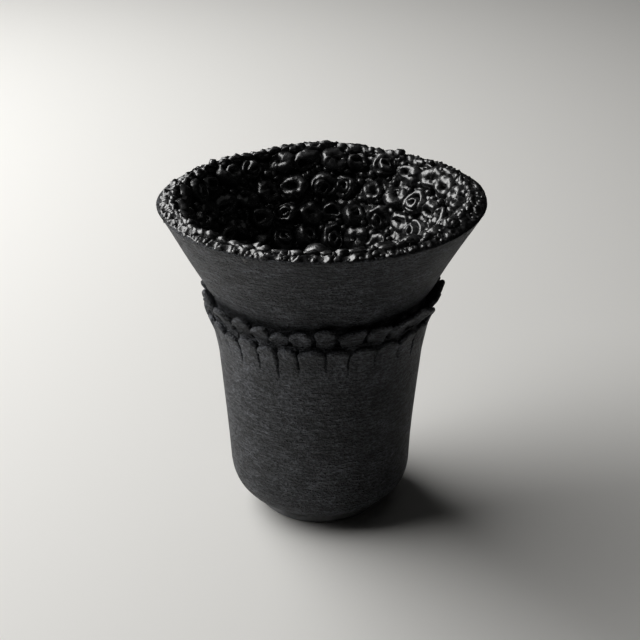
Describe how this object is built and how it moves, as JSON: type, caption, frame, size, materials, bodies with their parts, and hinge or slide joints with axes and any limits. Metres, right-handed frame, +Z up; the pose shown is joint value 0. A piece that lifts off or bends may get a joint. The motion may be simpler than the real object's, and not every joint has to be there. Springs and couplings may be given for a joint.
{
  "type": "black clay vase",
  "caption": "Tall black clay vase with a flared collar, a waistband of pinched clay petals, a lumpy burnished lip and a mouth lined with small clay rings.",
  "frame": {"origin": "centre of the foot's underside, where the vase stands", "axes": "+Z up along the vase's axis, from the foot to the mouth; +Y is the side away from the viewer, so the front looks along -Y; +X is to the viewer's right"},
  "size_m": [0.18, 0.18, 0.1944],
  "materials": {
    "matt_black_clay": "unpolished, matt, fine-grained, dark grey-black",
    "burnished_black_clay": "burnished to a soft metallic gloss, jet black"
  },
  "bodies": {
    "root": {"foot_ring": "matt_black_clay", "body_wall": "matt_black_clay", "flared_collar": "matt_black_clay", "lip_band": "burnished_black_clay", "petal_01": "matt_black_clay", "petal_02": "matt_black_clay", "petal_03": "matt_black_clay", "petal_04": "matt_black_clay", "petal_05": "matt_black_clay", "petal_06": "matt_black_clay", "petal_07": "matt_black_clay", "petal_08": "matt_black_clay", "petal_09": "matt_black_clay", "petal_10": "matt_black_clay", "petal_11": "matt_black_clay", "petal_12": "matt_black_clay", "petal_13": "matt_black_clay", "petal_14": "matt_black_clay", "petal_15": "matt_black_clay", "petal_16": "matt_black_clay", "petal_17": "matt_black_clay", "petal_18": "matt_black_clay", "petal_19": "matt_black_clay", "petal_20": "matt_black_clay", "petal_21": "matt_black_clay", "petal_22": "matt_black_clay", "petal_23": "matt_black_clay", "petal_24": "matt_black_clay", "petal_25": "matt_black_clay", "petal_26": "matt_black_clay", "petal_frill": "matt_black_clay", "mouth_ring_01": "burnished_black_clay", "mouth_ring_02": "burnished_black_clay", "mouth_ring_03": "burnished_black_clay", "mouth_ring_04": "burnished_black_clay", "mouth_ring_05": "burnished_black_clay", "mouth_ring_06": "burnished_black_clay", "mouth_ring_07": "burnished_black_clay", "mouth_ring_08": "burnished_black_clay", "mouth_ring_09": "burnished_black_clay", "mouth_ring_10": "burnished_black_clay", "mouth_ring_11": "burnished_black_clay", "mouth_ring_12": "burnished_black_clay", "mouth_ring_13": "burnished_black_clay", "mouth_ring_14": "burnished_black_clay", "mouth_ring_15": "burnished_black_clay", "mouth_ring_16": "burnished_black_clay", "mouth_ring_17": "burnished_black_clay", "mouth_ring_18": "burnished_black_clay", "mouth_ring_19": "burnished_black_clay", "mouth_ring_20": "burnished_black_clay", "mouth_ring_21": "burnished_black_clay", "mouth_ring_22": "burnished_black_clay", "mouth_ring_23": "burnished_black_clay", "mouth_ring_24": "burnished_black_clay", "mouth_ring_25": "burnished_black_clay", "mouth_ring_26": "burnished_black_clay", "ring_row_2": "burnished_black_clay", "ring_row_3": "burnished_black_clay", "ring_row_4": "burnished_black_clay"}
  },
  "joints": []
}
